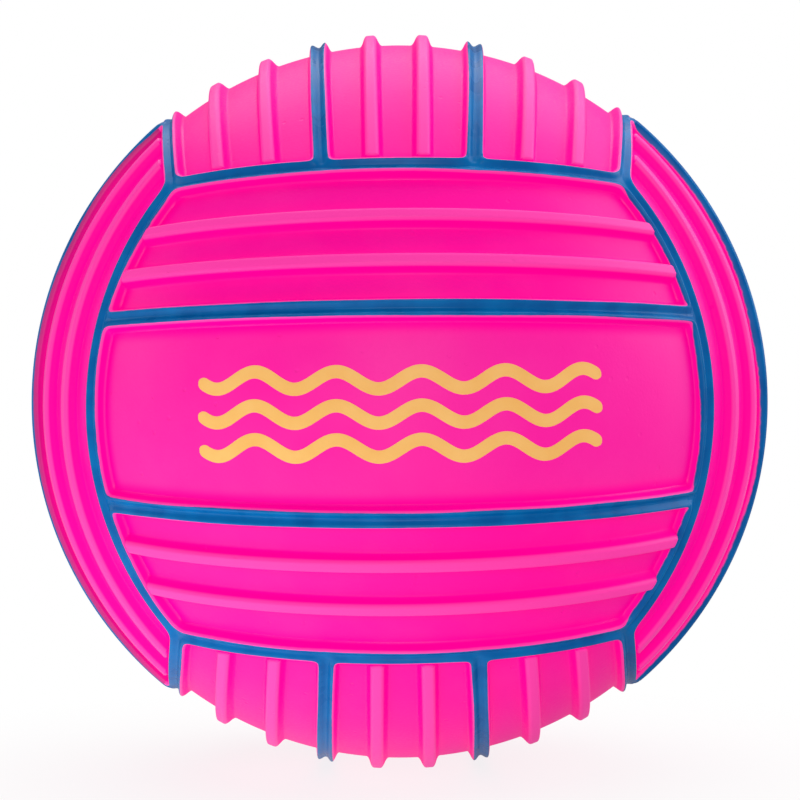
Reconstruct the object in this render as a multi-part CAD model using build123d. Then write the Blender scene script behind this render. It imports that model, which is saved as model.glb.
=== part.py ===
from build123d import *

import math
import os

# Water polo ball: bladder, wound carcass, eighteen cover panels, grooved seam strips and a needle valve.
# The ball's centre is the origin, the print side faces -Y, the valve faces +Y and +Z is up.

# Ball and cover, in millimetres
BALL_DIAMETER = 150.0  # over the grip ribs
RIB_HEIGHT = 2.2
RIB_TOP_WIDTH = 2.1
RIB_FOOT_WIDTH = 4.1
COVER_WALL = 1.3  # panel thickness between the ribs

# Seam strips, in millimetres
STRIP_WIDTH = 4.8  # at the panels' face
LIP_HEIGHT = 2.1  # above the panels' face
SIDE_LIP_HEIGHT = 2.6  # the same on the inner seams of the left and right faces
LIP_SPACING = 2.6  # between the crests of the two lips
GROOVE_DEPTH = 0.8  # below the crests

# Layers under the cover, in millimetres
CARCASS_WALL = 0.7
BLADDER_WALL = 0.7
BOND = 0.1  # cement line left between two bonded pieces

# Panel layout, in degrees seen from the ball's centre
EDGE_MID_ANGLE = 38.0  # from a face's middle to the middle of its bowed side edge
PRINT_SEAM_ANGLE = 15.0  # from the middle of the front or back face to its inner seams
GRIP_SEAM_ANGLE = 12.2  # the same on the other four faces
PRINT_FIELD_ANGLE = 36.5  # the ribs divide the field between the inner seam and this angle in three
GRIP_FIELD_ANGLE = 38.2  # the same on the other four faces
SWEEP = 150.0  # length of a revolved blank before its ends are cut

# Needle valve, in millimetres
NEEDLE_HOLE_DIAMETER = 2.2
NEEDLE_HOLE_DEPTH = 5.0
NEEDLE_LEAD_IN = 0.5  # chamfer at the mouth of the needle hole
CORE_DIAMETER = 5.0
CORE_LENGTH = 11.0  # under the head
CORE_HEAD_DIAMETER = 6.4
CORE_HEAD_THICKNESS = 1.2
CORE_FIT = 0.05  # radial clearance of the core in its housing
CORE_SEAT_GAP = 0.1  # under the core's head and under its foot
STEM_DIAMETER = 9.0
STEM_FLOOR = 1.5  # below the core
AIR_HOLE_DIAMETER = 2.4
FLANGE_DIAMETER = 20.0
FLANGE_THICKNESS = 1.2
VALVE_RECESS = 0.4  # the stem's mouth below the panel's face

# Radii that follow
R_RIB = BALL_DIAMETER / 2
R_FACE = R_RIB - RIB_HEIGHT
R_COVER_IN = R_FACE - COVER_WALL
R_CARCASS = R_COVER_IN - BOND
R_CARCASS_IN = R_CARCASS - CARCASS_WALL
R_BLADDER = R_CARCASS_IN - BOND
R_BLADDER_IN = R_BLADDER - BLADDER_WALL
R_FLANGE = R_BLADDER_IN - BOND

# The six faces are alike, and their corners are the corners of a cube. On each face, x runs along its
# strips, y across them and z out of the ball. A side edge is a flat circle through two corners and the
# bowed middle: its axis leans from y by EDGE_TILT, and it stands at EDGE_LATITUDE above that axis's equator.
CORNER = 1 / math.sqrt(3)
EDGE_MID = math.radians(EDGE_MID_ANGLE)
EDGE_TILT = math.atan2(math.sin(EDGE_MID) - CORNER, math.cos(EDGE_MID) - CORNER)
EDGE_LATITUDE = math.asin(CORNER * (math.cos(EDGE_TILT) - math.sin(EDGE_TILT)))
STRIP_HALF = STRIP_WIDTH / 2 / R_FACE
WALL_HALF = (STRIP_WIDTH / 2 + BOND) / R_FACE

# The inner seams and the ribs bow like the side edges, by the same share of their angle from the middle
BOW = EDGE_TILT / EDGE_MID


def line_plane(angle):
    """Frame of a bowed line across a face: the axis of its circle is y, and the middle of its arc is towards z."""
    lean = BOW * angle
    return Plane(origin=(0, 0, 0), x_dir=(1, 0, 0), z_dir=(0, math.sin(lean), math.cos(lean)))


SIDE_SEAM = line_plane(EDGE_MID)
LEAN = (math.sin(EDGE_TILT), math.cos(EDGE_TILT))
END_SEAMS = [
    Plane(origin=(0, 0, 0), x_dir=(0, 1, 0), z_dir=(LEAN[1], 0, LEAN[0])),
    Plane(origin=(0, 0, 0), x_dir=(0, -1, 0), z_dir=(-LEAN[1], 0, LEAN[0])),
]
SECTION = Plane(origin=(0, 0, 0), x_dir=(0, 0, 1), z_dir=(-1, 0, 0))


def polar(radius, latitude):
    """A point of a section, by its distance from the ball's centre and its latitude."""
    return (radius * math.cos(latitude), radius * math.sin(latitude))


def level(radius, height):
    """A point of a section, by its distance from the ball's centre and its height along the axis."""
    return (math.sqrt(radius ** 2 - height ** 2), height)


def wall_height(latitude):
    """How far along the axis a wall stands that meets the panels' face at this latitude."""
    return R_FACE * math.sin(latitude)


def swept(section):
    """The section turned about y, with its middle towards z."""
    blank = revolve(SECTION * section, Axis.Y, SWEEP)
    return Rot(0, -SWEEP / 2, 0) * blank


def cut(solid, normal, offset):
    """What lies beyond a plane, on the side that its normal points to."""
    normal = Vector(*normal).normalized()
    plane = Plane(origin=normal * offset, z_dir=normal)
    return split(solid, bisect_by=plane, keep=Keep.TOP)


def cut_ends(solid):
    """A piece cut to length where its face meets the two next ones."""
    for seam in END_SEAMS:
        solid = cut(solid, seam.y_dir, wall_height(EDGE_LATITUDE + WALL_HALF))
    return solid


def plate(low, high):
    """Section of a panel without ribs, between two heights along the axis."""
    middle = math.asin((low + high) / 2 / R_FACE)
    return make_face([
        Line(level(R_COVER_IN, low), level(R_FACE, low)),
        ThreePointArc(level(R_FACE, low), polar(R_FACE, middle), level(R_FACE, high)),
        Line(level(R_FACE, high), level(R_COVER_IN, high)),
        ThreePointArc(level(R_COVER_IN, high), polar(R_COVER_IN, middle), level(R_COVER_IN, low)),
    ])


def rib(angle):
    """A grip rib that stands straight out of the ball, with its foot sunk into the panel."""
    latitude = (1 - BOW) * angle
    top = RIB_TOP_WIDTH / 2 / R_RIB
    foot = RIB_FOOT_WIDTH / 2 / R_FACE
    sunk = R_FACE - COVER_WALL / 2
    outline = [
        polar(sunk, latitude - foot / 2),
        polar(R_FACE, latitude - foot),
        polar(R_RIB, latitude - top),
        polar(R_RIB, latitude + top),
        polar(R_FACE, latitude + foot),
        polar(sunk, latitude + foot / 2),
    ]
    return line_plane(angle).location * swept(make_face(Polyline(*outline, close=True)))


def seam_cut(solid, angle, side):
    """What lies beyond one wall of a seam strip: on its far side from the face's middle, or on its near one."""
    offset = wall_height((1 - BOW) * angle + side * WALL_HALF)
    return cut(solid, line_plane(angle).y_dir * side, offset * side)


def centre_panel(seam_angle, ribbed):
    """The middle panel of a face, between its two inner seams."""
    seam = math.radians(seam_angle)
    panel = swept(plate(-wall_height(seam), wall_height(seam)))
    if ribbed:
        panel += [rib(seam / 3), Rot(0, 0, 180) * rib(seam / 3)]
    panel = seam_cut(panel, seam, -1)
    panel = Rot(0, 0, 180) * seam_cut(Rot(0, 0, 180) * panel, seam, -1)
    return cut_ends(panel)


def outer_panel(seam_angle, field_angle):
    """A panel between an inner seam and the bowed side edge of its face."""
    seam = math.radians(seam_angle)
    step = (math.radians(field_angle) - seam) / 3
    beyond = wall_height(EDGE_LATITUDE + EDGE_MID)
    panel = swept(plate(0, beyond)) + [rib(seam + step), rib(seam + 2 * step)]
    panel = seam_cut(panel, seam, 1)
    return cut_ends(seam_cut(panel, EDGE_MID, -1))


def strip(angle, lip_height):
    """A seam strip's blank: a bar bonded to the carcass, with a round groove between two lips."""
    latitude = (1 - BOW) * angle
    low = wall_height(latitude - STRIP_HALF)
    high = wall_height(latitude + STRIP_HALF)
    lip = R_FACE + lip_height
    crest = LIP_SPACING / 2 / lip
    lip_low = polar(lip, latitude - crest)
    lip_high = polar(lip, latitude + crest)
    return line_plane(angle).location * swept(make_face([
        Polyline(level(R_COVER_IN, low), level(R_FACE, low), lip_low),
        ThreePointArc(lip_low, polar(lip - GROOVE_DEPTH, latitude), lip_high),
        Polyline(lip_high, level(R_FACE, high), level(R_COVER_IN, high)),
        ThreePointArc(level(R_COVER_IN, high), polar(R_COVER_IN, latitude), level(R_COVER_IN, low)),
    ]))


def edge_strip():
    """A strip along a bowed side edge, mitred at the corners where three such strips meet."""
    blank = strip(EDGE_MID, LIP_HEIGHT)
    for end in (1, -1):
        corner = Vector(end, 1, 1).normalized()
        along = corner.cross(SIDE_SEAM.y_dir).normalized() * end
        for turn in (60, -60):
            normal = corner.cross(along.rotate(Axis((0, 0, 0), corner), turn))
            if normal.dot(along) < 0:
                normal = -normal
            blank = cut(blank, normal, BOND / 2)
    return blank


def column(diameter, low, high):
    """A round column about z between two heights."""
    return Pos(0, 0, (low + high) / 2) * Cylinder(diameter / 2, high - low)


# Cover panels and seam strips, drawn once for each kind of face: with a plain middle panel for the print,
# ribbed, and ribbed with high seams
KINDS = {}
for kind, seam_angle, field_angle, ribbed, lip_height in (
    ("print", PRINT_SEAM_ANGLE, PRINT_FIELD_ANGLE, False, LIP_HEIGHT),
    ("grip", GRIP_SEAM_ANGLE, GRIP_FIELD_ANGLE, True, LIP_HEIGHT),
    ("side", GRIP_SEAM_ANGLE, GRIP_FIELD_ANGLE, True, SIDE_LIP_HEIGHT),
):
    inner_strip = cut_ends(strip(math.radians(seam_angle), lip_height))
    KINDS[kind] = (centre_panel(seam_angle, ribbed), outer_panel(seam_angle, field_angle), inner_strip)
EDGE = edge_strip()

# Each face: the way out of the ball, the way along its strips, its kind, the names of its two outer
# panels and the faces that lie beyond them
FACES = {
    "front": ((0, -1, 0), (1, 0, 0), "print", ("upper", "lower"), ("top", "bottom")),
    "back": ((0, 1, 0), (-1, 0, 0), "print", ("upper", "lower"), ("top", "bottom")),
    "top": ((0, 0, 1), (0, 1, 0), "grip", ("left", "right"), ("left", "right")),
    "bottom": ((0, 0, -1), (0, -1, 0), "grip", ("left", "right"), ("left", "right")),
    "right": ((1, 0, 0), (0, 0, 1), "side", ("front", "back"), ("front", "back")),
    "left": ((-1, 0, 0), (0, 0, -1), "side", ("front", "back"), ("front", "back")),
}
nodes = {}
for face, (outward, along_strips, kind, sides, neighbours) in FACES.items():
    place = Plane(origin=(0, 0, 0), x_dir=along_strips, z_dir=outward).location
    centre, outer, inner_strip = KINDS[kind]
    nodes[f"{face}_panel_centre"] = place * centre
    for side, neighbour, turn in zip(sides, neighbours, (0, 180)):
        spot = place * Rot(0, 0, turn)
        nodes[f"{face}_panel_{side}"] = spot * outer
        nodes[f"{face}_seam_{side}"] = spot * inner_strip
        nodes[f"{face}_edge_{neighbour}"] = spot * EDGE

# Needle valve, drawn about z and then turned to the middle of the back face
MOUTH = R_FACE - VALVE_RECESS
HEAD_SEAT = MOUTH - CORE_HEAD_THICKNESS - CORE_SEAT_GAP
BORE_FLOOR = HEAD_SEAT - CORE_LENGTH
STEM_FOOT = BORE_FLOOR - STEM_FLOOR
flange = Sphere(R_FLANGE) - Sphere(R_FLANGE - FLANGE_THICKNESS)
flange &= column(FLANGE_DIAMETER, 0, R_FLANGE)
housing = flange + column(STEM_DIAMETER, STEM_FOOT, MOUTH)
housing -= column(CORE_HEAD_DIAMETER + 2 * CORE_FIT, HEAD_SEAT, MOUTH)
housing -= column(CORE_DIAMETER + 2 * CORE_FIT, BORE_FLOOR, MOUTH)
housing -= column(AIR_HOLE_DIAMETER, STEM_FOOT, MOUTH)

HEAD_FOOT = HEAD_SEAT + CORE_SEAT_GAP
core = column(CORE_HEAD_DIAMETER, HEAD_FOOT, MOUTH)
core += column(CORE_DIAMETER, BORE_FLOOR + CORE_SEAT_GAP, MOUTH)
core -= column(NEEDLE_HOLE_DIAMETER, MOUTH - NEEDLE_HOLE_DEPTH, MOUTH)
lead_in = Cone(NEEDLE_HOLE_DIAMETER / 2, NEEDLE_HOLE_DIAMETER / 2 + NEEDLE_LEAD_IN, NEEDLE_LEAD_IN)
core -= Pos(0, 0, MOUTH - NEEDLE_LEAD_IN / 2) * lead_in

back = Plane(origin=(0, 0, 0), x_dir=(-1, 0, 0), z_dir=(0, 1, 0)).location
nodes["valve_housing"] = back * housing
nodes["valve_core"] = back * core

# The panel, the carcass and the bladder have a hole that the valve's stem stands in
stem_hole = back * column(STEM_DIAMETER + 2 * BOND, STEM_FOOT, R_RIB)
nodes["back_panel_centre"] -= stem_hole
nodes["carcass"] = Sphere(R_CARCASS) - Sphere(R_CARCASS_IN) - stem_hole
nodes["bladder"] = Sphere(R_BLADDER) - Sphere(R_BLADDER_IN) - stem_hole

os.makedirs("parts", exist_ok=True)
for name, solid in nodes.items():
    export_step(solid, f"parts/{name}.step")
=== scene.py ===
"""Water polo ball: the looks of its bladder, carcass, valve, ribbed cover panels and painted seam strips."""

import math

import bpy
import numpy as np
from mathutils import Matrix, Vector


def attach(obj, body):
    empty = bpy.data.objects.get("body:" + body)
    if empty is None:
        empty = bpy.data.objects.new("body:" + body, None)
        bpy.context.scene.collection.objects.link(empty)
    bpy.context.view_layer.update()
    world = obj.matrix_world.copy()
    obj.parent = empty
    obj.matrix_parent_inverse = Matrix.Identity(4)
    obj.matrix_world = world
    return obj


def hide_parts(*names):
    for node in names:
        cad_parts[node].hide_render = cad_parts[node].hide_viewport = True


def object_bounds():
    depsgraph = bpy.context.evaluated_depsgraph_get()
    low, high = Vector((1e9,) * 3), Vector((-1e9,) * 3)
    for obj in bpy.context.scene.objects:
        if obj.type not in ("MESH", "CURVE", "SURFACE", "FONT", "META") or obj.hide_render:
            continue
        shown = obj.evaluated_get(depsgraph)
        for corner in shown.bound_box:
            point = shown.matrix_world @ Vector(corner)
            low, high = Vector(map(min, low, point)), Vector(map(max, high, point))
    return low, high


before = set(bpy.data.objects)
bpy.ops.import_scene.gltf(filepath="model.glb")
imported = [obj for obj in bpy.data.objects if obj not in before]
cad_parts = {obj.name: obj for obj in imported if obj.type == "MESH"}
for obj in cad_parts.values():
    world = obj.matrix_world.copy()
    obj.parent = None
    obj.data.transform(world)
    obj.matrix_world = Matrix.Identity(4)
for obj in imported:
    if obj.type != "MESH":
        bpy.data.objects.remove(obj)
cad_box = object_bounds()

# Bladder
# The bladder is the airtight inner ball, dipped from black butyl rubber. It is dusted with talc
# and pressed against the carcass by the air, and only the valve breaks it.


def feed(tree, node, inputs):
    """Fills or links a node's inputs, by name or number."""
    for socket, value in inputs.items():
        if isinstance(value, bpy.types.NodeSocket):
            tree.links.new(value, node.inputs[socket])
        else:
            node.inputs[socket].default_value = value


def place(tree, kind, inputs=None, **settings):
    """Adds a node, sets its own properties, and then fills or links its inputs."""
    node = tree.nodes.new(kind)
    for key, value in settings.items():
        setattr(node, key, value)
    feed(tree, node, inputs or {})
    return node


def combine(tree, operation, *values):
    """Joins values by one step of arithmetic."""
    return place(tree, "ShaderNodeMath", dict(enumerate(values)), operation=operation).outputs[0]


def spread(tree, value, low, high, to_low=0.0, to_high=1.0):
    """Carries a value from one range to another, and holds it there."""
    return place(tree, "ShaderNodeMapRange", {0: value, 1: low, 2: high, 3: to_low, 4: to_high}).outputs[0]


def mix_colours(tree, factor, low, high):
    """Goes from the low colour to the high colour by a factor."""
    return place(tree, "ShaderNodeMix", {0: factor, 6: low, 7: high}, data_type="RGBA").outputs[2]


def object_spot(tree):
    """The place on a piece, in Object coordinates."""
    return place(tree, "ShaderNodeTexCoord").outputs["Object"]


def noise(tree, spot, scale, detail):
    """Smooth noise at a spot, with its scale per metre and its number of finer layers."""
    inputs = {"Vector": spot, "Scale": scale, "Detail": detail}
    return place(tree, "ShaderNodeTexNoise", inputs).outputs["Fac"]


def raised(tree, height, distance):
    """The normal of a surface that stands up by a distance where the height is 1."""
    return place(tree, "ShaderNodeBump", {"Height": height, "Distance": distance}).outputs[0]


def colour(red, green, blue):
    """A colour written as it looks on screen, from 0 to 255, turned to the linear values that shaders use
    by the sRGB curve."""
    screen = np.array([red, green, blue]) / 255.0
    linear = np.where(screen <= 0.04045, screen / 12.92, ((screen + 0.055) / 1.055) ** 2.4)
    return (*linear, 1.0)


NUMBER = "NodeSocketFloat"


def group(name, inputs, outputs):
    """Starts a shader node group with named sockets, each of its kind, and returns its tree and the nodes
    that hold its inputs and its outputs."""
    tree = bpy.data.node_groups.new(name, "ShaderNodeTree")
    for socket, kind in inputs.items():
        tree.interface.new_socket(socket, in_out="INPUT", socket_type=kind)
    for socket, kind in outputs.items():
        tree.interface.new_socket(socket, in_out="OUTPUT", socket_type=kind)
    return tree, tree.nodes.new("NodeGroupInput"), tree.nodes.new("NodeGroupOutput")


def start_material(name):
    """Starts a material, and returns it with its node tree and its shader."""
    material = bpy.data.materials.new(name)
    material.use_nodes = True
    return material, material.node_tree, material.node_tree.nodes["Principled BSDF"]


# Most noise lies within its range. A speck grows from its rim to its core, in shares of a cell, and only
# cells with a chance above the given ones have a speck
NOISE_RANGE = (0.3, 0.7)
CLOUD_DETAIL = 3.0
GRAIN_DETAIL = 2.0
SPECK_RADII = (0.16, 0.08)
SPECK_CHANCES = (0.72, 0.74)


def moulded_skin():
    """Any moulded rubber skin: Cloud is a slow drift of tone, Grain a fine matt texture, and Specks marks
    small pits. All three come from noise on Object coordinates, at scales per metre."""
    tree, inlet, outlet = group(
        "moulded_skin",
        {"Cloud Scale": NUMBER, "Grain Scale": NUMBER, "Speck Scale": NUMBER},
        {"Cloud": NUMBER, "Grain": NUMBER, "Specks": NUMBER},
    )
    spot = object_spot(tree)
    cloud = noise(tree, spot, inlet.outputs["Cloud Scale"], CLOUD_DETAIL)
    grain = noise(tree, spot, inlet.outputs["Grain Scale"], GRAIN_DETAIL)
    cells = place(tree, "ShaderNodeTexVoronoi", {"Vector": spot, "Scale": inlet.outputs["Speck Scale"]})
    chance = place(tree, "ShaderNodeSeparateColor", {0: cells.outputs["Color"]}).outputs[0]
    dot = spread(tree, cells.outputs["Distance"], *SPECK_RADII)
    specks = combine(tree, "MULTIPLY", dot, spread(tree, chance, *SPECK_CHANCES))
    feed(tree, outlet, {"Cloud": spread(tree, cloud, *NOISE_RANGE), "Grain": grain, "Specks": specks})
    return tree


MOULDED_SKIN = moulded_skin()
ROUGHNESS_SWING = 0.08


def rubber(name, dark, light, cloud_scale, grain_scale, roughness, grain_height):
    """A plain matt skin: two close tones in clouds, and a fine grain."""
    material, tree, shader = start_material(name)
    scales = {"Cloud Scale": cloud_scale, "Grain Scale": grain_scale}
    skin = place(tree, "ShaderNodeGroup", scales, node_tree=MOULDED_SKIN)
    swing = (roughness - ROUGHNESS_SWING, roughness + ROUGHNESS_SWING)
    feed(tree, shader, {
        "Base Color": mix_colours(tree, skin.outputs["Cloud"], dark, light),
        "Roughness": spread(tree, skin.outputs["Grain"], *NOISE_RANGE, *swing),
        "Normal": raised(tree, skin.outputs["Grain"], grain_height),
    })
    return material


def finish_node(node, material):
    """Gives a carried-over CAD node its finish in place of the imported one."""
    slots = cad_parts[node].data.materials
    slots.clear()
    slots.append(material)


BUTYL_RUBBER = rubber(
    "butyl_rubber",
    dark=colour(24, 24, 26),
    light=colour(52, 52, 56),
    cloud_scale=60.0,
    grain_scale=900.0,
    roughness=0.62,
    grain_height=0.0001,
)
finish_node("bladder", BUTYL_RUBBER)

# Carcass
# Nylon thread is wound over the bladder in every direction and set in latex. It keeps the ball round
# and carries the load of the air, and the cover is cemented to it.

THREAD_PITCH = 0.0012
THREAD_HEIGHT = 0.0003
THREAD_SWAY = 1.5
THREAD_TURNS = (0.0, math.radians(60.0), math.radians(120.0))
# The latex between the threads, darkened as painted shade where the bands sink
LATEX_AND_PAINTED_SHADE = colour(150, 138, 112)
THREAD_LIGHT = colour(222, 214, 190)
THREAD_ROUGHNESS = 0.75
WAVE_AT_SCALE_ONE = 0.3


def wound_thread():
    """Threads lie in three sets of fine bands that cross at even angles, each a wave on Object coordinates,
    which at a scale of 1 repeats every WAVE_AT_SCALE_ONE. At each spot the highest band lies on top and is
    pale, and the low places between the bands take the latex colour, darkened as painted shade."""
    material, tree, shader = start_material("wound_thread")
    spot = object_spot(tree)
    scale = WAVE_AT_SCALE_ONE / THREAD_PITCH
    top = 0.0
    for turn in THREAD_TURNS:
        turned = place(tree, "ShaderNodeMapping", {"Vector": spot, "Rotation": (turn, turn / 2, turn)})
        inputs = {"Vector": turned.outputs[0], "Scale": scale, "Distortion": THREAD_SWAY}
        band = place(tree, "ShaderNodeTexWave", inputs, wave_type="RINGS").outputs["Fac"]
        top = combine(tree, "MAXIMUM", top, band)
    feed(tree, shader, {
        "Base Color": mix_colours(tree, top, LATEX_AND_PAINTED_SHADE, THREAD_LIGHT),
        "Roughness": THREAD_ROUGHNESS,
        "Normal": raised(tree, top, THREAD_HEIGHT),
    })
    return material


finish_node("carcass", wound_thread())

# Valve housing
# A blue rubber stem with a flange bonded inside the bladder. Its mouth lies just below the face of the
# back panel, and it holds the core.

STEM_RUBBER = rubber(
    "stem_rubber",
    dark=colour(8, 70, 130),
    light=colour(20, 96, 160),
    cloud_scale=300.0,
    grain_scale=2500.0,
    roughness=0.5,
    grain_height=0.00006,
)
finish_node("valve_housing", STEM_RUBBER)

# Valve core
# A soft dark plug, squeezed by the housing. Its needle hole leads to a slit that the air presses shut,
# and it pulls out for service.

CORE_RUBBER = rubber(
    "core_rubber",
    dark=colour(34, 34, 38),
    light=colour(58, 58, 64),
    cloud_scale=400.0,
    grain_scale=3000.0,
    roughness=0.55,
    grain_height=0.00005,
)
finish_node("valve_core", CORE_RUBBER)

# Cover panels
# Eighteen panels of fluorescent pink rubber, three to a face, moulded with grip ribs. They are cemented
# to the carcass, and the middle panels of the front and back faces are plain.

FACE_RADIUS = 0.0728
COVER_INSIDE = 0.0715
RIB_HEIGHT = 0.0022
RIB_TOP_HALF = 0.0006
RIB_FOOT_HALF = 0.0023
RIB_ROUNDING = 0.5
RIB_END = 0.001  # from the seam line, where a rib has run out
RIB_END_ROUNDING = 0.3
STRIP_HALF = 0.0024
LIP_HEIGHT = 0.0021
SIDE_LIP_HEIGHT = 0.0026  # of the seams inside the left and right faces
LIP_HALF = 0.0013  # from the seam line to the crest of a lip
LIP_ROUNDING = 0.48
GROOVE_DEPTH = 0.0008
CORNER_SOFTNESS = 0.0005
CORNER = 1 / math.sqrt(3)  # each coordinate of a corner on the unit ball
EDGE_MID = math.radians(38.0)  # from a face's middle to the middle of its side edge
EDGE_TILT = math.atan2(math.sin(EDGE_MID) - CORNER, math.cos(EDGE_MID) - CORNER)
EDGE_LATITUDE = math.asin(CORNER * (math.cos(EDGE_TILT) - math.sin(EDGE_TILT)))
EDGE_REACH = math.asin(CORNER / math.cos(EDGE_LATITUDE))
BOW = EDGE_TILT / EDGE_MID
WALL_ANGLE = STRIP_HALF / FACE_RADIUS
PRINT_SEAM = math.radians(15.0)
PRINT_FIELD = math.radians(36.5)  # ribs divide what lies between the seam and this angle in three
GRIP_SEAM = math.radians(12.2)
GRIP_FIELD = math.radians(38.2)

# Each face: the way along its panels, the way out of the ball, its inner seams' angle, whether its middle
# panel has ribs, and the names of its two sides and of the faces beyond them
FACES = {
    "front": ((1, 0, 0), (0, -1, 0), PRINT_SEAM, False, ("upper", "lower"), ("top", "bottom")),
    "back": ((-1, 0, 0), (0, 1, 0), PRINT_SEAM, False, ("upper", "lower"), ("top", "bottom")),
    "top": ((0, 1, 0), (0, 0, 1), GRIP_SEAM, True, ("left", "right"), ("left", "right")),
    "bottom": ((0, -1, 0), (0, 0, -1), GRIP_SEAM, True, ("left", "right"), ("left", "right")),
    "right": ((0, 0, 1), (1, 0, 0), GRIP_SEAM, True, ("front", "back"), ("front", "back")),
    "left": ((0, 0, -1), (-1, 0, 0), GRIP_SEAM, True, ("front", "back"), ("front", "back")),
}


def axes(face):
    """The directions along a face's panels, across them and out of the ball."""
    along, out = np.array(FACES[face][:2], float)
    return along, np.cross(out, along), out


def bowed_line(face, angle):
    """A line along a face, at an angle from its middle, as a circle on the ball: the circle's axis, the
    direction of the line's middle, the direction along it, and its latitude above the axis's equator. The
    axis leans by the BOW share of the angle, so that the line bows."""
    along, across, out = axes(face)
    side, lean = np.sign(angle), BOW * abs(angle)
    axis = side * across * math.cos(lean) - out * math.sin(lean)
    middle = side * across * math.sin(lean) + out * math.cos(lean)
    return axis, middle, along, abs(angle) - lean


def end_azimuth(latitude, lean, lift):
    """How far a circle, whose axis leans by an angle from across a face, runs before it meets a circle at
    the face's end. The axis of that one leans by EDGE_TILT from the way out, and lift is the sine of its
    latitude."""
    level = np.cos(lean) * math.cos(EDGE_TILT)
    drop = math.sin(EDGE_TILT)
    reach = (lift + np.sin(latitude) * np.sin(lean) * math.cos(EDGE_TILT)) / np.cos(latitude)
    return np.arccos(reach / np.hypot(level, drop)) - np.arctan2(drop, level)


def seam_arcs():
    """Every seam as a bowed line and its half length as an azimuth. A seam inside a face ends at the crest
    of the lip of the edge that it meets."""
    arcs = {}
    lip_lift = math.sin(EDGE_LATITUDE + LIP_HALF / FACE_RADIUS)
    for face, (_, _, inner, _, sides, neighbours) in FACES.items():
        reach = end_azimuth((1 - BOW) * inner, BOW * inner, lip_lift)
        for sign, side, neighbour in zip((1, -1), sides, neighbours):
            arcs[f"{face}_seam_{side}"] = (*bowed_line(face, sign * inner), reach)
            arcs[f"{face}_edge_{neighbour}"] = (*bowed_line(face, sign * EDGE_MID), EDGE_REACH)
    return arcs


SEAMS = seam_arcs()
SIDE_SEAMS = ("left_seam", "right_seam")


def seam_weights(points):
    """How much each seam counts at unit points, and how far along it they lie, from -1 to 1. The weight
    falls off with the distance along the ball, which for one seam is the difference in latitude, joined
    past the arc's ends with the overshoot."""
    weights, shares = [], []
    for axis, middle, along, latitude, reach in SEAMS.values():
        rise = np.arcsin(np.clip(points @ axis, -1, 1)) - latitude
        turn = np.arctan2(points @ along, points @ middle)
        past = np.maximum(np.abs(turn) - reach, 0)
        gap = FACE_RADIUS * np.hypot(rise, past * math.cos(latitude))
        weights.append(np.exp(-gap / CORNER_SOFTNESS))
        shares.append(turn / reach)
    return np.array(weights), np.array(shares)


def seam_distance(points):
    """Distance along the ball from unit points to the nearest seam line, and the height of the lips there.
    The seams are joined by a soft minimum, which rounds the corners where they meet, and the lip heights by
    the same weights."""
    weights, _ = seam_weights(points)
    total = weights.sum(axis=0)
    lips = [SIDE_LIP_HEIGHT if name.startswith(SIDE_SEAMS) else LIP_HEIGHT for name in SEAMS]
    return np.maximum(-CORNER_SOFTNESS * np.log(total), 0), np.tensordot(lips, weights, 1) / total


def eased(x, ends):
    """A ramp from 0 to 1 that is straight in the middle and has parabolas of this width at both ends."""
    x = np.clip(x, 0, 1)
    low = x ** 2 / (2 * ends)
    high = 1 - ends - (1 - x) ** 2 / (2 * ends)
    return np.where(x < ends, low, np.where(x > 1 - ends, high, x - ends / 2)) / (1 - ends)


def rib_angles(face):
    """Where a face's ribs lie across it: at thirds of the middle panel and of the fields beside it."""
    inner, ribbed = FACES[face][2:4]
    step = ((GRIP_FIELD if ribbed else PRINT_FIELD) - inner) / 3
    positive = [inner + step, inner + 2 * step] + ([inner / 3] if ribbed else [])
    return [sign * angle for angle in positive for sign in (1, -1)]


def rib_profile(off):
    """Height of a rib at a distance from its middle: a narrow flat crest between two flanks, each made of a
    round shoulder and a hollow foot."""
    rise = (RIB_FOOT_HALF - np.abs(off)) / (RIB_FOOT_HALF - RIB_TOP_HALF)
    return RIB_HEIGHT * eased(rise, RIB_ROUNDING)


def on_face(points, face):
    """Which unit points lie within a face's four edges."""
    along, across, out = axes(face)
    lift = math.sin(EDGE_LATITUDE)
    rise, level = math.cos(EDGE_TILT), math.sin(EDGE_TILT)
    ends = rise * (points @ out) - level * np.abs(points @ along) > lift
    sides = rise * np.abs(points @ across) - level * (points @ out) < lift
    return ends & sides


def relief(points, distance, lips):
    """Height of the cover above the panels' face. A seam is a ridge with a round groove along its crest. A
    rib runs the length of its face and slopes down over the strip at its end, to RIB_END from the seam line.
    Where they meet, the higher one shows."""
    flank = eased((STRIP_HALF - distance) / (STRIP_HALF - LIP_HALF), LIP_ROUNDING)
    groove = np.where(distance < LIP_HALF, 0.5 + 0.5 * np.cos(np.pi * distance / LIP_HALF), 0)
    height = lips * flank - GROOVE_DEPTH * groove
    runs_out = eased((distance - RIB_END) / (STRIP_HALF - RIB_END), RIB_END_ROUNDING)
    for face in FACES:
        inside = on_face(points, face)
        for angle in rib_angles(face):
            axis, _, _, latitude = bowed_line(face, angle)
            off = FACE_RADIUS * (np.arcsin(np.clip(points @ axis, -1, 1)) - latitude)
            height = np.where(inside, np.maximum(height, rib_profile(off) * runs_out), height)
    return height


CROWD_SAMPLES = 2000


def crowded(low, high, count, places, width, crowding):
    """A row of values from low to high that lie closer together near the given places: even steps of a
    density that has a bell curve of this width at each place."""
    fine = np.linspace(low, high, CROWD_SAMPLES)
    density = np.ones_like(fine)
    for centre in places:
        density += crowding * np.exp(-(((fine - centre) / width) ** 2))
    share = np.concatenate([[0], np.cumsum((density[1:] + density[:-1]) / 2)])
    return np.interp(np.linspace(0, share[-1], count), share, fine)


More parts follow.
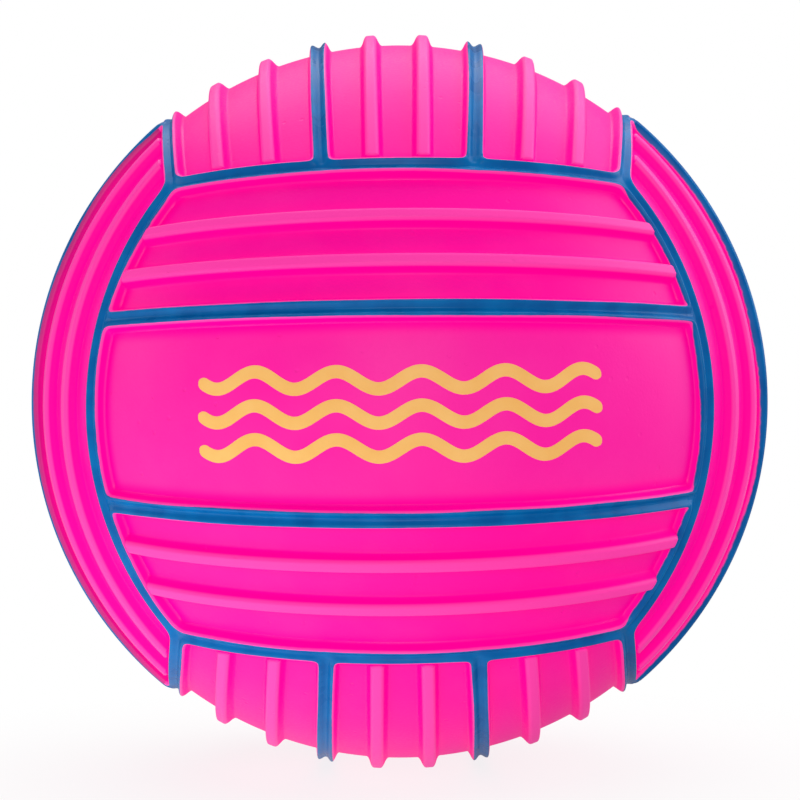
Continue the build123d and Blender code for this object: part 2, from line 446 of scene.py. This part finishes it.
def on_circle(axis, middle, along, latitude, azimuth):
    """Unit points at a latitude above an axis's equator and an azimuth from the middle direction."""
    flat = np.cos(azimuth)[..., None] * middle + np.sin(azimuth)[..., None] * along
    return np.sin(latitude)[..., None] * axis + np.cos(latitude)[..., None] * flat


PANEL_ROWS = 112
PANEL_COLUMNS = 118
INSIDE_ROWS = 8
FLANK_CROWDING = 2.5
END_CROWDING = 5.0
END_CROWD_WIDTH = 0.06
WALL_LIFT = math.sin(EDGE_LATITUDE + WALL_ANGLE)
FLANK_MIDDLE = (RIB_TOP_HALF + RIB_FOOT_HALF) / 2 / FACE_RADIUS
FLANK_REACH = (RIB_FOOT_HALF - RIB_TOP_HALF) / 2 / FACE_RADIUS


def panel_grid(face, sign, low, high, low_lean, high_lean, rows, ribs):
    """Unit points of a panel. Rows are bowed lines along the face, whose lean goes evenly from that of one
    seam to that of the next one. Columns share out each row between the end walls."""
    along, across, out = axes(face)
    along, across = sign * along, sign * across
    flanks = [rib + side * FLANK_MIDDLE for rib in ribs for side in (-1, 1)]
    angle = crowded(low, high, rows, [low, high] + flanks, FLANK_REACH, FLANK_CROWDING)
    lean = np.interp(angle, [low, high], [low_lean, high_lean])
    latitude = angle - lean
    reach = end_azimuth(latitude, lean, WALL_LIFT)
    share = crowded(-1, 1, PANEL_COLUMNS, [-1, 1], END_CROWD_WIDTH, END_CROWDING)
    axis = np.cos(lean)[:, None, None] * across - np.sin(lean)[:, None, None] * out
    middle = np.sin(lean)[:, None, None] * across + np.cos(lean)[:, None, None] * out
    return on_circle(axis, middle, along, latitude[:, None], reach[:, None] * share[None, :])


SHARP_ANGLE = math.radians(55.0)


def closed_shell(name, outer, inner):
    """A closed mesh between an outer grid and an inner grid that have equal columns. Quads fill both grids
    and the long walls, and one polygon closes each end. Faces are turned to point outwards."""
    rows, columns = outer.shape[:2]
    inner_rows = inner.shape[0]
    top = np.arange(rows * columns).reshape(rows, columns)
    base = top.size + np.arange(inner_rows * columns).reshape(inner_rows, columns)

    def quads(grid):
        corners = grid[:-1, :-1], grid[:-1, 1:], grid[1:, 1:], grid[1:, :-1]
        return np.stack(corners, axis=-1).reshape(-1, 4)

    walls = [quads(np.stack([base[0], top[0]])), quads(np.stack([top[-1], base[-1]]))]
    faces = np.concatenate([quads(top), quads(base[::-1])] + walls).tolist()
    faces.append(np.concatenate([top[::-1, 0], base[:, 0]]).tolist())
    faces.append(np.concatenate([top[:, -1], base[::-1, -1]]).tolist())
    points = np.concatenate([outer.reshape(-1, 3), inner.reshape(-1, 3)])
    across, along = outer[1, 0] - outer[0, 0], outer[0, 1] - outer[0, 0]
    if np.dot(np.cross(along, across), outer[0, 0]) < 0:
        faces = [face[::-1] for face in faces]
    mesh = bpy.data.meshes.new(name)
    mesh.from_pydata(points, [], faces)
    mesh.shade_smooth()
    mesh.set_sharp_from_angle(angle=SHARP_ANGLE)
    piece = bpy.data.objects.new(name, mesh)
    bpy.context.scene.collection.objects.link(piece)
    return piece


def tag(piece, name, values):
    """Stores one number for each point of a piece, for its material to read."""
    padded = np.full(len(piece.data.vertices), values.min(), np.float32)
    padded[: values.size] = values.ravel()
    piece.data.attributes.new(name, "FLOAT", "POINT").data.foreach_set("value", padded)


def end_room(face, points):
    """Distance along the ball from points on a face to the walls at the ends of its panels: the latitude
    above the circle of the nearer end, less half a strip."""
    along, _, out = axes(face)
    rise = math.cos(EDGE_TILT) * (points @ out) - math.sin(EDGE_TILT) * np.abs(points @ along)
    return FACE_RADIUS * (np.arcsin(rise) - EDGE_LATITUDE) - STRIP_HALF


# Width and rounding of the band of painted shade beside a panel's seams, which stays deep and unpolished
SEAM_SHADE_BAND = 0.0026
SEAM_SHADE_ROUNDING = 0.4
MILLIMETRES = 1000.0


def panel(face, side, sign, plain):
    """One panel: an outer skin at the face radius plus the relief, over a plain inner skin. A band beside the
    walls at its ends, or on a plain panel beside all four, carries painted shade."""
    inner = FACES[face][2]
    if side == "centre":
        limits = (-inner + WALL_ANGLE, inner - WALL_ANGLE, -BOW * inner, BOW * inner)
    else:
        limits = (inner + WALL_ANGLE, EDGE_MID - WALL_ANGLE, BOW * inner, EDGE_TILT)
    ribs = [sign * rib for rib in rib_angles(face)]
    skin = panel_grid(face, sign, *limits, PANEL_ROWS, ribs)
    back = panel_grid(face, sign, *limits, INSIDE_ROWS, [])
    distance, lips = seam_distance(skin)
    height = relief(skin, distance, lips)
    piece = closed_shell(f"{face}_{side}_skin", skin * (FACE_RADIUS + height)[..., None], back * COVER_INSIDE)
    tag(piece, "relief", height * MILLIMETRES)
    room = distance - STRIP_HALF if plain else end_room(face, skin)
    # Painted shade: 1 at the foot of a seam strip, falling to 0 across the band
    tag(piece, "seam_nearness", 1 - eased(room / SEAM_SHADE_BAND, SEAM_SHADE_ROUNDING))
    piece.data.materials.append(PLAIN_RUBBER if plain else RIBBED_RUBBER)
    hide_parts(f"{face}_panel_{side}")
    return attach(piece, "ball")


TINT = "NodeSocketColor"

# Heights in millimetres between which the open face ends, a crest pales as a painted highlight, and the
# highest crests pale again
FACE_END = (0.02, 0.2)
CREST_RISE = (1.4, 1.8)
TOP_RISE = (2.25, 2.5)
CREST_HIGHLIGHT = 0.45
TOP_HIGHLIGHT = 0.5
FACE_DRIFT = 0.04
PINK_DEEP = colour(248, 0, 156)
# The pale pink of the painted highlights on the crests and of the painted sheen on the open faces
PINK_HIGHLIGHT = colour(255, 112, 194)
PINK_ROUGHNESS = (0.36, 0.5)
PINK_SCALES = {"Cloud Scale": 70.0, "Grain Scale": 1800.0, "Speck Scale": 330.0}
PIT_DEPTH = 2.0


def pink_rubber():
    """Colour, roughness, polish and height of the pink rubber: the open faces are paled by Face Sheen, a
    painted sheen, and drift in tone; the crests are paled as a painted highlight; handling has polished the
    open faces and crests; and the flanks and what is near a seam stay deep and dull, as painted shade, with a
    fine grain and a few pits. Crest is the height above the panels' face in millimetres."""
    tree, inlet, outlet = group(
        "pink_rubber",
        {"Crest": NUMBER, "Seam Shade": NUMBER, "Fade": NUMBER},
        {"Color": TINT, "Roughness": NUMBER, "Polish": NUMBER, "Height": NUMBER},
    )
    skin = place(tree, "ShaderNodeGroup", PINK_SCALES, node_tree=MOULDED_SKIN)
    height = inlet.outputs["Crest"]
    # Painted highlight: the crests pale with their height, and the highest crests most
    paled = spread(tree, height, *CREST_RISE, 0.0, CREST_HIGHLIGHT)
    crest = combine(tree, "ADD", paled, spread(tree, height, *TOP_RISE, 0.0, TOP_HIGHLIGHT))
    # Painted shade keeps the rubber deep and unpolished near the seams
    away = combine(tree, "SUBTRACT", 1.0, inlet.outputs["Seam Shade"])
    open_face = combine(tree, "MULTIPLY", spread(tree, height, *FACE_END, 1.0, 0.0), away)
    drift = spread(tree, skin.outputs["Cloud"], 0.0, 1.0, -FACE_DRIFT, FACE_DRIFT)
    # Painted sheen on the open faces, with a random drift in tone
    face_sheen = combine(tree, "ADD", inlet.outputs["Fade"], drift)
    amount = combine(tree, "MULTIPLY_ADD", open_face, face_sheen, crest)
    pits = combine(tree, "MULTIPLY", skin.outputs["Specks"], PIT_DEPTH)
    feed(tree, outlet, {
        "Color": mix_colours(tree, amount, PINK_DEEP, PINK_HIGHLIGHT),
        "Roughness": spread(tree, skin.outputs["Grain"], *NOISE_RANGE, *PINK_ROUGHNESS),
        "Polish": combine(tree, "MAXIMUM", open_face, spread(tree, crest, 0.0, CREST_HIGHLIGHT)),
        "Height": combine(tree, "SUBTRACT", skin.outputs["Grain"], pits),
    })
    return tree


PINK_RUBBER = pink_rubber()
PINK_GRAIN_HEIGHT = 0.00004
# A steady painted glow for the fluorescent dye: it shines with no light on it and evens out the shade
PINK_PAINTED_GLOW = colour(255, 0, 158)
PINK_PAINTED_GLOW_STRENGTH = 0.36
PINK_SPECULAR = 0.05
PINK_COAT = 0.28
PINK_COAT_ROUGHNESS = 0.42


def carried(tree, name):
    """The number that a piece's points carry under a name."""
    return place(tree, "ShaderNodeAttribute", attribute_name=name).outputs["Fac"]


def cover_rubber(name, face_sheen):
    """The panels' pink rubber, with a polish on its open faces and crests. Its fluorescent dye is given as a
    steady painted glow of pink, which shines even where no light falls and evens out the shade."""
    material, tree, shader = start_material(name)
    inputs = {"Crest": carried(tree, "relief"), "Seam Shade": carried(tree, "seam_nearness"), "Fade": face_sheen}
    pink = place(tree, "ShaderNodeGroup", inputs, node_tree=PINK_RUBBER)
    feed(tree, shader, {
        "Base Color": pink.outputs["Color"],
        "Roughness": pink.outputs["Roughness"],
        "Normal": raised(tree, pink.outputs["Height"], PINK_GRAIN_HEIGHT),
        "Coat Weight": combine(tree, "MULTIPLY", pink.outputs["Polish"], PINK_COAT),
        "Coat Roughness": PINK_COAT_ROUGHNESS,
        "Emission Color": PINK_PAINTED_GLOW,
        "Emission Strength": PINK_PAINTED_GLOW_STRENGTH,
        "Specular IOR Level": PINK_SPECULAR,
    })
    return material


# A painted sheen pales the open faces, far more on the plain panels than on the ribbed ones
RIBBED_RUBBER = cover_rubber("ribbed_rubber", face_sheen=0.01)
PLAIN_RUBBER = cover_rubber("plain_rubber", face_sheen=0.14)

# The back middle panel is plain and has the hole for the valve, so it keeps its CAD shape
for face, (_, _, _, ribbed, sides, _) in FACES.items():
    panel(face, sides[0], 1, False)
    panel(face, sides[1], -1, False)
    if face == "back":
        finish_node("back_panel_centre", PLAIN_RUBBER)
    else:
        panel(face, "centre", 1, not ribbed)

# Seam strips
# Raised strips of the same pink rubber close the gaps between the panels. Each has a groove along its
# crest, painted blue by hand, so the paint's edges wander over the lips.

STRIP_ROWS = 38
STRIP_PITCH = 0.00045
MITRE_TURN = math.radians(60.0)
# The inner seams of the left face get a violet overspray, darkened as painted shade
OVERSPRAY_SHADE_SEAM = "left_seam"

# Half the width of the paint at the two ends of a face's inner seams and edges, in the order of the way
# along the face
PAINT_HALVES = {
    "left_seam": (0.0015, 0.00135),
    "right_seam": (0.0017, 0.00198),
    "left_edge": (0.0016, 0.00135),
    "right_edge": (0.0018, 0.0018),
    "front_edge": (0.0013, 0.0013),
    "front_seam": (0.00142, 0.00142),
    "top_edge": (0.00112, 0.00112),
    "top_seam": (0.0014, 0.0014),
    "bottom_edge": (0.00142, 0.00142),
    "bottom_seam": (0.00145, 0.00145),
    "back_edge": (0.00138, 0.00138),
    "back_seam": (0.00142, 0.00142),
}


def mitre_azimuth(arc, latitude):
    """How far each row of an edge strip runs before the mitre at a corner, which is a plane through the
    corner's own axis, turned by 60 degrees from the strip. The row above the seam line meets the plane on
    its side, and the row below the other one."""
    axis, middle, along, seam, reach = arc
    corner = on_circle(axis, middle, along, seam, reach)
    heading = np.cross(axis, corner)
    heading /= np.linalg.norm(heading)
    heading *= -np.sign(heading @ along)
    ahead = math.cos(MITRE_TURN) * heading
    aside = math.sin(MITRE_TURN) * np.cross(corner, heading)
    planes = [np.cross(corner, ahead + side * aside) for side in (1, -1)]
    azimuth = np.empty_like(latitude)
    for sign in (1, -1):
        normal = max(planes, key=lambda n: sign * np.dot(np.cross(corner, n), axis) * np.sign(n @ heading))
        rows = (latitude - seam) * sign >= 0
        level, drop = normal @ middle, normal @ along
        lift = -np.tan(latitude[rows]) * (normal @ axis)
        turn = np.arccos(np.clip(lift / math.hypot(level, drop), -1, 1))
        base = math.atan2(drop, level)
        options = np.stack([base + turn, base - turn])
        nearest = np.abs(options - reach).argmin(axis=0)
        azimuth[rows] = options[nearest, np.arange(options.shape[1])]
    return azimuth


def paint_half(points):
    """Half the width of the paint at unit points. It goes evenly from one end of a seam to the other, and
    blends from seam to seam where they meet."""
    weights, shares = seam_weights(points)
    ends = [PAINT_HALVES[name.rpartition("_")[0]] for name in SEAMS]
    halves = [np.interp(share, (-1, 1), pair) for share, pair in zip(shares, ends)]
    return (weights * halves).sum(axis=0) / weights.sum(axis=0)


def strip(name, arc, material):
    """One seam strip: rows run along its circle at even latitudes, and columns share out each row."""
    axis, middle, along, seam, reach = arc
    lean = BOW / (1 - BOW) * seam
    columns = int(2 * reach * FACE_RADIUS * math.cos(seam) / STRIP_PITCH)
    grids = []
    for rows in (STRIP_ROWS, 2):
        latitude = seam + WALL_ANGLE * np.linspace(-1, 1, rows)
        if "_edge_" in name:
            ends = mitre_azimuth(arc, latitude)
        else:
            ends = end_azimuth(latitude, lean, WALL_LIFT)
        azimuth = ends[:, None] * np.linspace(-1, 1, columns)[None, :]
        grids.append(on_circle(axis, middle, along, latitude[:, None], azimuth))
    skin, back = grids
    distance, lips = seam_distance(skin)
    height = relief(skin, distance, lips)
    piece = closed_shell(f"{name}_strip", skin * (FACE_RADIUS + height)[..., None], back * COVER_INSIDE)
    tag(piece, "relief", height * MILLIMETRES)
    tag(piece, "paint_room", (paint_half(skin) - distance) * MILLIMETRES)
    tag(piece, "overspray_and_shade", np.full(distance.shape, float(name.startswith(OVERSPRAY_SHADE_SEAM))))
    piece.data.materials.append(material)
    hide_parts(name)
    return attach(piece, "ball")


# Widths of the paint's edges and of what lies beside them are in millimetres, and scales are per metre
PAINT_WANDER = 0.1
WANDER_SCALE = 45.0
WANDER_DETAIL = 0.0
PAINT_JITTER = 0.02
JITTER_SCALE = 700.0
JITTER_DETAIL = 1.0
PAINT_EDGE = 0.04
# Room beside the paint where the lip's crest is paled as a painted highlight, and by how much
LIP_HIGHLIGHT_ROOM = (-0.45, -0.12)
LIP_HIGHLIGHT_SWING = 0.3
# Reach, depth and violet of the overspray beside the paint, darkened as painted shade
OVERSPRAY_SHADE_REACH = 0.9
OVERSPRAY_SHADE_DEPTH = 0.7
OVERSPRAY_SHADE_VIOLET = colour(96, 10, 84)
BLUE_DEEP = colour(0, 108, 186)
BLUE_LIGHT = colour(0, 128, 204)
STREAK_SCALE = 160.0
STREAK_DETAIL = 2.0
STREAK_RANGE = (0.35, 0.68)
PAINT_ROUGHNESS = (0.22, 0.36)
PAINT_COAT = 0.24
PAINT_COAT_ROUGHNESS = 0.3
PAINT_BUILD_UP = 0.00003
NO_GLOW = colour(0, 0, 0)


def mix_values(tree, factor, low, high):
    """Goes from the low value to the high value by a factor."""
    return place(tree, "ShaderNodeMix", {0: factor, 2: low, 3: high}).outputs[0]


def painted_rubber():
    """Pink rubber with blue paint in the groove. Paint room is the half width of the paint less the distance
    from the seam line, in millimetres. The paint ends where it runs out, give or take two scales of noise.
    Beyond it the crest of the lip is paled as a painted highlight, and where overspray_and_shade is set, a
    thin overspray goes on, through which the pink looks dark violet and doesn't glow: partly overspray, and
    mostly painted shade along the left face's inner seams."""
    material, tree, shader = start_material("painted_rubber")
    spot = object_spot(tree)
    slow = noise(tree, spot, WANDER_SCALE, WANDER_DETAIL)
    quick = noise(tree, spot, JITTER_SCALE, JITTER_DETAIL)
    sway = spread(tree, slow, *NOISE_RANGE, -PAINT_WANDER, PAINT_WANDER)
    jitter = spread(tree, quick, *NOISE_RANGE, -PAINT_JITTER, PAINT_JITTER)
    room = combine(tree, "ADD", carried(tree, "paint_room"), combine(tree, "ADD", sway, jitter))
    paint = spread(tree, room, -PAINT_EDGE, PAINT_EDGE)
    # Painted highlight on the lip's crest just beyond the paint
    lip_highlight = spread(tree, room, *LIP_HIGHLIGHT_ROOM, -LIP_HIGHLIGHT_SWING, LIP_HIGHLIGHT_SWING)
    crest = combine(tree, "ADD", carried(tree, "relief"), lip_highlight)
    pink = place(tree, "ShaderNodeGroup", {"Crest": crest}, node_tree=PINK_RUBBER)
    # Painted shade: beside the paint on the left seams the pink turns dark violet and stops glowing
    thin = spread(tree, room, -OVERSPRAY_SHADE_REACH, 0.0, 0.0, OVERSPRAY_SHADE_DEPTH)
    overspray_shade = combine(tree, "MULTIPLY", thin, carried(tree, "overspray_and_shade"))
    overspray_shaded = mix_colours(tree, overspray_shade, pink.outputs["Color"], OVERSPRAY_SHADE_VIOLET)
    paint_and_shade = combine(tree, "MAXIMUM", paint, overspray_shade)
    streak = noise(tree, spot, STREAK_SCALE, STREAK_DETAIL)
    blue = mix_colours(tree, spread(tree, streak, *STREAK_RANGE), BLUE_DEEP, BLUE_LIGHT)
    gloss = spread(tree, streak, *NOISE_RANGE, *PAINT_ROUGHNESS)
    coat = combine(tree, "MULTIPLY", pink.outputs["Polish"], PINK_COAT)
    feed(tree, shader, {
        "Base Color": mix_colours(tree, paint, overspray_shaded, blue),
        "Roughness": mix_values(tree, paint, pink.outputs["Roughness"], gloss),
        "Normal": raised(tree, combine(tree, "MULTIPLY", paint, streak), PAINT_BUILD_UP),
        "Coat Weight": mix_values(tree, paint, coat, PAINT_COAT),
        "Coat Roughness": PAINT_COAT_ROUGHNESS,
        "Emission Color": mix_colours(tree, paint_and_shade, PINK_PAINTED_GLOW, NO_GLOW),
        "Emission Strength": PINK_PAINTED_GLOW_STRENGTH,
        "Specular IOR Level": PINK_SPECULAR,
    })
    return material


PAINTED_RUBBER = painted_rubber()
for name, arc in SEAMS.items():
    strip(name, arc, PAINTED_RUBBER)

# Front print
# Three ripples in yellow ink, screen printed on the plain middle panel of the front face. The ink is a
# film a few hundredths of a millimetre thick, brightened by a steady painted glow of its own.

INK_FILM = 0.00005
RIPPLE_LENGTH = 0.078
RIPPLE_SWING = 0.0016
RIPPLE_PITCH = 0.0156
RIPPLE_STROKE_HALF = 0.0012
RIPPLE_SPACING = 0.0062
RIPPLE_ROWS = 9
RIPPLE_COLUMNS = 260
BLUNT_TIP = 0.02


def ripple(name, level, material):
    """A sine wave drawn with a round pen: the stroke's half width follows a half circle at both ends, which
    stay a little blunt. Its flat places are wrapped on the panel as arcs of longitude and latitude."""
    run = np.linspace(-RIPPLE_LENGTH / 2, RIPPLE_LENGTH / 2, RIPPLE_COLUMNS)
    phase = 2 * np.pi * run / RIPPLE_PITCH
    wave = RIPPLE_SWING * np.sin(phase)
    slope = 2 * np.pi * RIPPLE_SWING / RIPPLE_PITCH * np.cos(phase)
    to_end = np.clip((RIPPLE_LENGTH / 2 - np.abs(run)) / RIPPLE_STROKE_HALF, BLUNT_TIP, 1)
    half = RIPPLE_STROKE_HALF * np.sqrt(1 - (1 - to_end) ** 2)
    normal = np.stack([-slope, np.ones_like(slope)]) / np.hypot(1, slope)
    grids = []
    for rows, radius in ((RIPPLE_ROWS, FACE_RADIUS + INK_FILM), (2, FACE_RADIUS - INK_FILM)):
        step = np.linspace(-1, 1, rows)[:, None] * half[None, :]
        azimuth = (run[None, :] + step * normal[0]) / FACE_RADIUS
        latitude = (level + wave[None, :] + step * normal[1]) / FACE_RADIUS
        spot = [np.cos(latitude) * np.sin(azimuth), -np.cos(latitude) * np.cos(azimuth), np.sin(latitude)]
        grids.append(radius * np.stack(spot, axis=-1))
    piece = closed_shell(name, *grids)
    piece.data.materials.append(material)
    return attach(piece, "ball")


# A steady painted glow that brightens the ink, though it is no lamp
INK_PAINTED_GLOW = colour(255, 124, 112)
INK_PAINTED_GLOW_STRENGTH = 0.25


def yellow_ink():
    """Matt ink in two close tones, finished like a rubber skin, with a steady painted glow that brightens it.
    """
    material = rubber(
        "yellow_ink",
        dark=colour(250, 206, 92),
        light=colour(255, 216, 110),
        cloud_scale=160.0,
        grain_scale=1500.0,
        roughness=0.55,
        grain_height=0.00003,
    )
    shader = material.node_tree.nodes["Principled BSDF"]
    glow = {"Emission Color": INK_PAINTED_GLOW, "Emission Strength": INK_PAINTED_GLOW_STRENGTH}
    feed(material.node_tree, shader, glow)
    return material


YELLOW_INK = yellow_ink()
for number, step in enumerate((1, 0, -1), 1):
    ripple(f"front_ripple_{number}", step * RIPPLE_SPACING, YELLOW_INK)

# Studio
# The ball lies on a white light table, between large soft lights above and on both sides, with a smaller
# one behind the camera. The camera stands level with the ball, a little above its middle.

FLOOR_HALF = 4.0
FLOOR_LEVEL = cad_box[0][2]
FLOOR_ROUGHNESS = 0.9
FLOOR_DIM = (0.15, 0.15, 0.15, 1.0)
FLOOR_SEEN = (0.9, 0.9, 0.9, 1.0)
POOL_CENTRE = (-0.1, -0.11, 0.0)
POOL_REACH = 0.16
POOL_GLOW = 1.7
TABLE_GLOW = 0.27
SHADOW_REACH = (0.04, 0.13)
SHADOW_WHITE = 0.84


def white_floor():
    """A white light table, lit from below, most in a pool in front of the ball on its left. The camera sees
    it near full white, with the ball's shadow still on it close by."""
    material, tree, shader = start_material("white_floor")
    spot = object_spot(tree)
    camera_ray = place(tree, "ShaderNodeLightPath").outputs["Is Camera Ray"]
    feed(tree, shader, {
        "Base Color": mix_colours(tree, camera_ray, FLOOR_DIM, FLOOR_SEEN),
        "Roughness": FLOOR_ROUGHNESS,
        "Specular IOR Level": 0.0,
    })
    pool = place(tree, "ShaderNodeVectorMath", {0: spot, 1: POOL_CENTRE}, operation="DISTANCE")
    lit = spread(tree, pool.outputs["Value"], 0.0, POOL_REACH, POOL_GLOW, TABLE_GLOW)
    unseen = combine(tree, "SUBTRACT", 1.0, camera_ray)
    glow = place(tree, "ShaderNodeEmission", {"Strength": combine(tree, "MULTIPLY", lit, unseen)})
    table = place(tree, "ShaderNodeAddShader", {0: shader.outputs[0], 1: glow.outputs[0]})
    far = place(tree, "ShaderNodeVectorMath", {0: spot}, operation="LENGTH").outputs["Value"]
    white = spread(tree, far, *SHADOW_REACH, SHADOW_WHITE, 1.0)
    seen = combine(tree, "MULTIPLY", camera_ray, white)
    plain = place(tree, "ShaderNodeEmission", {"Strength": 1.0})
    both = place(tree, "ShaderNodeMixShader", {0: seen, 1: table.outputs[0], 2: plain.outputs[0]})
    feed(tree, tree.nodes["Material Output"], {"Surface": both.outputs[0]})
    return material


floor_mesh = bpy.data.meshes.new("floor")
corners = [(-1, -1), (1, -1), (1, 1), (-1, 1)]
floor_mesh.from_pydata([(x * FLOOR_HALF, y * FLOOR_HALF, 0.0) for x, y in corners], [], [(0, 1, 2, 3)])
floor_mesh.materials.append(white_floor())
floor = bpy.data.objects.new("floor", floor_mesh)
floor.location.z = FLOOR_LEVEL
bpy.context.scene.collection.objects.link(floor)

ROOM_LIGHT = 0.2


def white_room():
    """White for the camera, and dim for everything else."""
    world = bpy.data.worlds.new("white_room")
    world.use_nodes = True
    tree = world.node_tree
    camera_ray = place(tree, "ShaderNodeLightPath").outputs["Is Camera Ray"]
    strength = spread(tree, camera_ray, 0.0, 1.0, ROOM_LIGHT, 1.0)
    feed(tree, tree.nodes["Background"], {"Color": (1.0, 1.0, 1.0, 1.0), "Strength": strength})
    return world


bpy.context.scene.world = white_room()


def soft_light(name, direction, distance, size, power):
    """A square soft light that faces the ball from a direction."""
    lamp = bpy.data.lights.new(name, "AREA")
    lamp.size = size
    lamp.energy = power
    light = bpy.data.objects.new(name, lamp)
    light.location = distance * np.array(direction) / np.linalg.norm(direction)
    light.rotation_euler = light.location.to_track_quat("Z", "Y").to_euler()
    bpy.context.scene.collection.objects.link(light)


soft_light("top_light", direction=(0.0, 0.42, 1.0), distance=0.95, size=1.1, power=7.2)
soft_light("left_light", direction=(-1.0, 0.1, 0.0), distance=0.9, size=0.8, power=2.0)
soft_light("right_light", direction=(1.0, 0.2, 0.55), distance=0.9, size=0.8, power=4.3)
soft_light("front_light", direction=(0.0, -1.0, 0.2), distance=1.3, size=0.6, power=3.8)

CAMERA_DISTANCE = 0.6
CAMERA_AZIMUTH = math.radians(-0.1)
CAMERA_ELEVATION = math.radians(1.8)
CAMERA_ROLL = math.radians(-0.55)
CAMERA_LENS = 131.1
CAMERA_SENSOR = 36.0
PHOTO_SIZE = 800.0
BALL_CENTRE_PIXEL = (399.6, 401.5)

camera_data = bpy.data.cameras.new("camera")
camera_data.sensor_width = CAMERA_SENSOR
camera_data.lens = CAMERA_LENS
camera_data.shift_x = (PHOTO_SIZE / 2 - BALL_CENTRE_PIXEL[0]) / PHOTO_SIZE
camera_data.shift_y = (BALL_CENTRE_PIXEL[1] - PHOTO_SIZE / 2) / PHOTO_SIZE
camera = bpy.data.objects.new("camera", camera_data)
bpy.context.scene.collection.objects.link(camera)
camera.rotation_euler = (math.pi / 2 - CAMERA_ELEVATION, 0, CAMERA_AZIMUTH)
camera.location = (
    CAMERA_DISTANCE * math.cos(CAMERA_ELEVATION) * math.sin(CAMERA_AZIMUTH),
    -CAMERA_DISTANCE * math.cos(CAMERA_ELEVATION) * math.cos(CAMERA_AZIMUTH),
    CAMERA_DISTANCE * math.sin(CAMERA_ELEVATION),
)
camera.rotation_euler.rotate_axis("Z", CAMERA_ROLL)
bpy.context.scene.camera = camera
bpy.context.scene.view_settings.view_transform = "Standard"
